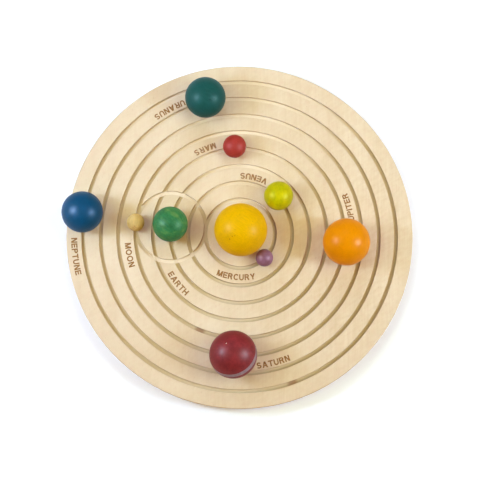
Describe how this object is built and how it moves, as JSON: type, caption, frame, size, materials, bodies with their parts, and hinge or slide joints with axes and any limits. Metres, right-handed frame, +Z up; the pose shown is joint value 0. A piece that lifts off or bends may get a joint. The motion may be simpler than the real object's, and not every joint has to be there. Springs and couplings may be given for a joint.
{
  "type": "orrery",
  "caption": "Flat wooden toy orrery: a round plywood board with concentric grooves in which loose painted wooden planet balls roll round a central sun.",
  "frame": {"origin": "centre of the board's underside, where the table touches it; the orbits' common axis passes through it", "axes": "+Z up out of the grooved face; +X to the right and +Y away from a viewer who reads the lettering nearest them upright"},
  "size_m": [0.301, 0.299, 0.056],
  "materials": {
    "birch_plywood": "fine-sanded bare birch plywood, darker cross-grain plies showing in the grooves and on the edge",
    "sun_paint": "satin yellow stain on a turned wooden ball, grain showing through",
    "mercury_paint": "satin dusty purple stain on a turned wooden ball",
    "venus_paint": "satin lime stain on a turned wooden ball",
    "earth_paint": "satin green stain on a turned wooden ball",
    "moon_wood": "bare turned wooden ball, fine-sanded",
    "mars_paint": "satin red stain on a turned wooden ball",
    "jupiter_paint": "satin orange stain on a turned wooden ball",
    "saturn_paint": "satin dark red stain on a turned wooden ball, with a thin grey painted band",
    "uranus_paint": "satin teal stain on a turned wooden ball",
    "neptune_paint": "satin blue stain on a turned wooden ball"
  },
  "bodies": {
    "board": {"board": "birch_plywood"},
    "sun": {"sun_ball": "sun_paint"},
    "mercury": {"mercury_ball": "mercury_paint"},
    "venus": {"venus_ball": "venus_paint"},
    "earth": {"earth_ball": "earth_paint"},
    "moon": {"moon_ball": "moon_wood"},
    "mars": {"mars_ball": "mars_paint"},
    "jupiter": {"jupiter_ball": "jupiter_paint"},
    "saturn": {"saturn_ball": "saturn_paint"},
    "uranus": {"uranus_ball": "uranus_paint"},
    "neptune": {"neptune_ball": "neptune_paint"}
  },
  "joints": [
    {"name": "sun_spin", "type": "hinge", "parent": "board", "child": "sun", "pos_m": [0, 0, 0.012], "axis": [0, 0, 1], "continuous": true},
    {"name": "mercury_orbit", "type": "hinge", "parent": "board", "child": "mercury", "pos_m": [0, 0, 0.012], "axis": [0, 0, 1], "range_deg": [-248, 69]},
    {"name": "venus_orbit", "type": "hinge", "parent": "board", "child": "venus", "pos_m": [0, 0, 0.012], "axis": [0, 0, 1], "range_deg": [-69, 104]},
    {"name": "earth_orbit", "type": "hinge", "parent": "board", "child": "earth", "pos_m": [0, 0, 0.012], "axis": [0, 0, 1], "range_deg": [-62, 163]},
    {"name": "moon_ring", "type": "hinge", "parent": "board", "child": "moon", "pos_m": [-0.05974, 0.00554, 0.012], "axis": [0, 0, 1], "continuous": true},
    {"name": "mars_orbit", "type": "hinge", "parent": "board", "child": "mars", "pos_m": [0, 0, 0.012], "axis": [0, 0, 1], "range_deg": [-82, 62]},
    {"name": "jupiter_orbit", "type": "hinge", "parent": "board", "child": "jupiter", "pos_m": [0, 0, 0.012], "axis": [0, 0, 1], "range_deg": [-63, 82]},
    {"name": "saturn_orbit", "type": "hinge", "parent": "board", "child": "saturn", "pos_m": [0, 0, 0.012], "axis": [0, 0, 1], "range_deg": [-79, 63]},
    {"name": "uranus_orbit", "type": "hinge", "parent": "board", "child": "uranus", "pos_m": [0, 0, 0.012], "axis": [0, 0, 1], "range_deg": [-97, 53]},
    {"name": "neptune_orbit", "type": "hinge", "parent": "board", "child": "neptune", "pos_m": [0, 0, 0.012], "axis": [0, 0, 1], "range_deg": [-53, 80]}
  ]
}
